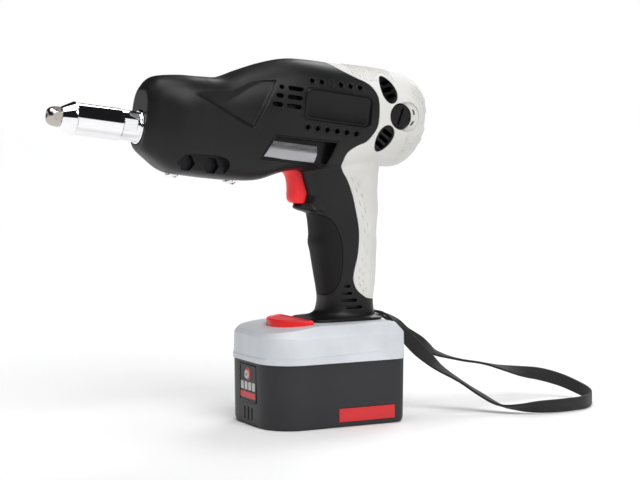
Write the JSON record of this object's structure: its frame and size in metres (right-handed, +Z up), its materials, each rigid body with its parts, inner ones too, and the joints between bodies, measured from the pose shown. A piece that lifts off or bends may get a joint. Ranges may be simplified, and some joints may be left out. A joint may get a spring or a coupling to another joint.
{
  "type": "battery rivet tool",
  "caption": "Pistol-grip battery rivet puller: split moulded housing, polished pulling nose, geared motor drive, red trigger, side selector, slide-on battery pack and wrist strap.",
  "frame": {"origin": "middle of the battery pack's flat base, where the tool stands", "axes": "+X from the nose to the rear of the tool, level; +Y to the tool's right-hand side as seen by the person holding it; +Z up. The head is tilted nose-up by 7 degrees about Y."},
  "size_m": [0.4267, 0.1026, 0.2598],
  "materials": {
    "black_plastic": "satin moulded, charcoal black",
    "pale_rubber": "soft moulded, off-white, matt",
    "grip_rubber": "soft moulded, black, fine grain",
    "black_trim": "black, semi-gloss",
    "red_plastic": "glossy red",
    "silver_trim": "satin silver",
    "chrome": "polished",
    "bright_steel": "machined, bright",
    "dark_steel": "hardened, dark",
    "blackened_steel": "black oxide",
    "gear_bronze": "machined bronze",
    "contact_brass": "plated, bright",
    "alloy": "machined alloy",
    "motor_steel": "zinc plated",
    "board": "green laminate, lacquered",
    "carbon": "carbon and brass brush in a moulded holder",
    "webbing": "woven black webbing",
    "pack_grey": "satin moulded, dark grey",
    "pack_pale": "semi-gloss, pale grey",
    "band_red": "flat red",
    "gauge_pale": "off-white",
    "cell_sleeve": "shrink sleeve over a steel can",
    "nickel": "nickel strip"
  },
  "bodies": {
    "tool": {"left_shell": "black_plastic", "right_shell": "black_plastic", "left_cover": "pale_rubber", "right_cover": "pale_rubber", "left_grip": "grip_rubber", "right_grip": "grip_rubber", "vent_grilles": "black_trim", "brush_caps": "black_trim", "shell_screws": "bright_steel", "clamp_bolts": "blackened_steel", "clamp_nuts": "blackened_steel", "selector_frame": "black_trim", "trigger_switch": "black_plastic", "control_board": "board", "foot_contacts": "contact_brass", "strap_pin": "bright_steel", "strap": "webbing", "carrier": "alloy", "lock_ring": "chrome", "sleeve": "chrome", "nosepiece": "bright_steel", "rest_studs": "chrome", "gear_plate": "alloy", "thrust_bearing": "bright_steel", "nut_bearing": "bright_steel", "gearbox_cover": "black_plastic", "ring_gear": "dark_steel", "gearbox_plate": "black_plastic", "motor_can": "motor_steel", "end_bell": "black_plastic", "brushes": "carbon"},
    "rotor": {"rotor": "dark_steel", "fan": "black_trim"},
    "planet_carrier": {"planet_carrier": "bright_steel"},
    "planet_1": {"planet_1": "gear_bronze"},
    "planet_2": {"planet_2": "gear_bronze"},
    "planet_3": {"planet_3": "gear_bronze"},
    "nut": {"nut_gear": "gear_bronze"},
    "puller": {"spindle": "dark_steel", "jaw_housing": "dark_steel", "jaw_spring": "bright_steel"},
    "jaw_1": {"jaw_1": "dark_steel"},
    "jaw_2": {"jaw_2": "dark_steel"},
    "jaw_3": {"jaw_3": "dark_steel"},
    "jaw_pusher": {"jaw_pusher": "bright_steel"},
    "trigger": {"trigger": "red_plastic"},
    "selector": {"selector": "silver_trim"},
    "pack": {"pack_case": "pack_grey", "pack_cover": "pack_pale", "latch_spring": "bright_steel", "gauge_panel": "black_trim", "gauge_bars": "gauge_pale", "pack_band": "band_red", "cells": "cell_sleeve", "cell_straps": "nickel", "pack_board": "board", "pack_contacts": "contact_brass"},
    "latch": {"pack_latch": "red_plastic"},
    "gauge_button": {"gauge_button": "gauge_pale"}
  },
  "joints": [
    {"name": "rotor_spin", "type": "hinge", "parent": "tool", "child": "rotor", "pos_m": [0.00366, 0, 0.22428], "axis": [0.9925, 0, -0.1219], "range_deg": [0, 14400]},
    {"name": "carrier_spin", "type": "hinge", "parent": "tool", "child": "planet_carrier", "pos_m": [-0.03605, 0, 0.22915], "axis": [0.9925, 0, -0.1219], "range_deg": [0, 2880]},
    {"name": "planet_1_spin", "type": "hinge", "parent": "planet_carrier", "child": "planet_1", "pos_m": [-0.0197, 0, 0.23923], "axis": [0.9925, 0, -0.1219], "range_deg": [-7680.5, 0]},
    {"name": "planet_2_spin", "type": "hinge", "parent": "planet_carrier", "child": "planet_2", "pos_m": [-0.02189, -0.01039, 0.22137], "axis": [0.9925, 0, -0.1219], "range_deg": [-7680.5, 0]},
    {"name": "planet_3_spin", "type": "hinge", "parent": "planet_carrier", "child": "planet_3", "pos_m": [-0.02189, 0.01039, 0.22137], "axis": [0.9925, 0, -0.1219], "range_deg": [-7680.5, 0]},
    {"name": "nut_spin", "type": "hinge", "parent": "tool", "child": "nut", "pos_m": [-0.05459, 0, 0.2012], "axis": [0.9925, 0, -0.1219], "range_deg": [-1440.5, 0]},
    {"name": "draw_slide", "type": "slide", "parent": "tool", "child": "puller", "axis": [0.9925, 0, -0.1219], "range_m": [0, 0.02001]},
    {"name": "jaw_1_slide", "type": "slide", "parent": "puller", "child": "jaw_1", "axis": [-0.9835, 0.1801, 0.016], "range_m": [0, 0.00121]},
    {"name": "jaw_2_slide", "type": "slide", "parent": "puller", "child": "jaw_2", "axis": [-0.9455, 0, 0.3256], "range_m": [0, 0.00121]},
    {"name": "jaw_3_slide", "type": "slide", "parent": "puller", "child": "jaw_3", "axis": [-0.9835, -0.1801, 0.016], "range_m": [0, 0.00121]},
    {"name": "pusher_slide", "type": "slide", "parent": "puller", "child": "jaw_pusher", "axis": [-0.9925, 0, 0.1219], "range_m": [0, 0.00119]},
    {"name": "trigger_press", "type": "slide", "parent": "tool", "child": "trigger", "axis": [1, 0, 0], "range_m": [0, 0.006], "stiffness_N_per_m": 800},
    {"name": "selector_slide", "type": "slide", "parent": "tool", "child": "selector", "axis": [0.9925, 0, -0.1219], "range_m": [0, 0.008]},
    {"name": "pack_slide", "type": "slide", "parent": "tool", "child": "pack", "axis": [-1, 0, 0], "range_m": [0, 0.062]},
    {"name": "latch_press", "type": "slide", "parent": "pack", "child": "latch", "axis": [0, 0, -1], "range_m": [0, 0.003], "stiffness_N_per_m": 1500, "deforming": ["latch_spring"]},
    {"name": "gauge_press", "type": "slide", "parent": "pack", "child": "gauge_button", "axis": [1, 0, 0], "range_m": [0, 0.0008], "stiffness_N_per_m": 1000}
  ],
  "couplings": [
    {"joint": "carrier_spin", "follows": "rotor_spin", "ratio": 0.2},
    {"joint": "planet_1_spin", "follows": "rotor_spin", "ratio": -0.53333},
    {"joint": "planet_2_spin", "follows": "rotor_spin", "ratio": -0.53333},
    {"joint": "planet_3_spin", "follows": "rotor_spin", "ratio": -0.53333},
    {"joint": "nut_spin", "follows": "rotor_spin", "ratio": -0.1},
    {"joint": "draw_slide", "follows": "rotor_spin", "m_per_rad": 0.000079577},
    {"joint": "jaw_1_slide", "follows": "rotor_spin", "m_per_rad": 0.0000047746},
    {"joint": "jaw_2_slide", "follows": "rotor_spin", "m_per_rad": 0.0000047746},
    {"joint": "jaw_3_slide", "follows": "rotor_spin", "m_per_rad": 0.0000047746},
    {"joint": "pusher_slide", "follows": "rotor_spin", "m_per_rad": 0.0000046703}
  ]
}
